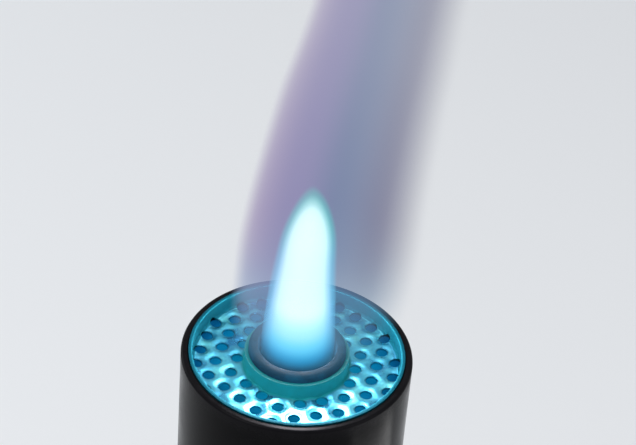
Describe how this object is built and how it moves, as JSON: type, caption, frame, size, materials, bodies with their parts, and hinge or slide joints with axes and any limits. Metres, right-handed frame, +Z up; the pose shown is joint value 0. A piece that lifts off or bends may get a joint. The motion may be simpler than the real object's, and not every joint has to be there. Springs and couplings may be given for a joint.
{
  "type": "bunsen burner",
  "caption": "Laboratory gas burner: round cast foot, hose nozzle and needle valve, turning air collar, upright barrel, and a wide dark head with a perforated plate round its mouth.",
  "frame": {"origin": "on the bench under the barrel's axis, level with the bottom of the rubber pads", "axes": "+Z up the barrel's axis; -X towards the hose nozzle's open end; +X towards the valve knob; the air ports face -Y and +Y"},
  "size_m": [0.092, 0.092, 0.1663],
  "materials": {
    "foot_enamel": "grey-black stove enamel over an iron casting, slight orange peel, worn along the lower edge",
    "rubber": "matt black rubber",
    "steel": "zinc-plated steel, satin",
    "fibre": "red-brown vulcanised fibre",
    "nickel": "nickel plate over turned brass, bright with fine turning marks",
    "stainless": "bright stainless steel, turned",
    "brass": "bare turned brass",
    "nitrile": "black nitrile rubber",
    "knob_plastic": "black phenolic moulding, semi-gloss",
    "disc_plastic": "plain yellow disc, the usual colour for a fuel gas tap",
    "barrel_steel": "nickel-plated steel tube, straw to violet-blue heat tint near the mouth",
    "head_black": "black heat-resistant finish, satin gloss",
    "plate_steel": "pressed heat-resistant steel sheet with a blue-green heat tint and sooty hole edges"
  },
  "bodies": {
    "burner": {"base_casting": "foot_enamel", "rubber_pads": "rubber", "foot_screw": "steel", "foot_spring_washer": "steel", "body_washer": "fibre", "valve_body": "nickel", "hose_nozzle": "nickel", "nozzle_gasket": "fibre", "valve_bonnet": "nickel", "bonnet_gasket": "fibre", "gas_jet": "brass", "mixing_sleeve": "nickel", "wave_washer": "stainless", "retaining_ring": "stainless", "barrel": "barrel_steel", "head_shell": "head_black", "perforated_plate": "plate_steel", "neck_grub_screws": "steel"},
    "collar": {"air_collar": "nickel"},
    "seal": {"spindle_o_ring": "nitrile"},
    "spindle": {"needle_spindle": "stainless", "valve_knob": "knob_plastic", "knob_bush": "brass", "knob_grub_screw": "steel", "knob_disc": "disc_plastic"}
  },
  "joints": [
    {"name": "collar_turn", "type": "hinge", "parent": "burner", "child": "collar", "pos_m": [0, 0, 0.062], "axis": [0, 0, 1], "continuous": true},
    {"name": "valve_travel", "type": "slide", "parent": "burner", "child": "seal", "axis": [1, 0, 0], "range_m": [-0.0015, 0.00094]},
    {"name": "valve_turn", "type": "hinge", "parent": "seal", "child": "spindle", "pos_m": [0, 0, 0.033], "axis": [1, 0, 0], "range_deg": [-720, 450]}
  ],
  "couplings": [
    {"joint": "valve_travel", "follows": "valve_turn", "m_per_rad": 0.00011936}
  ]
}
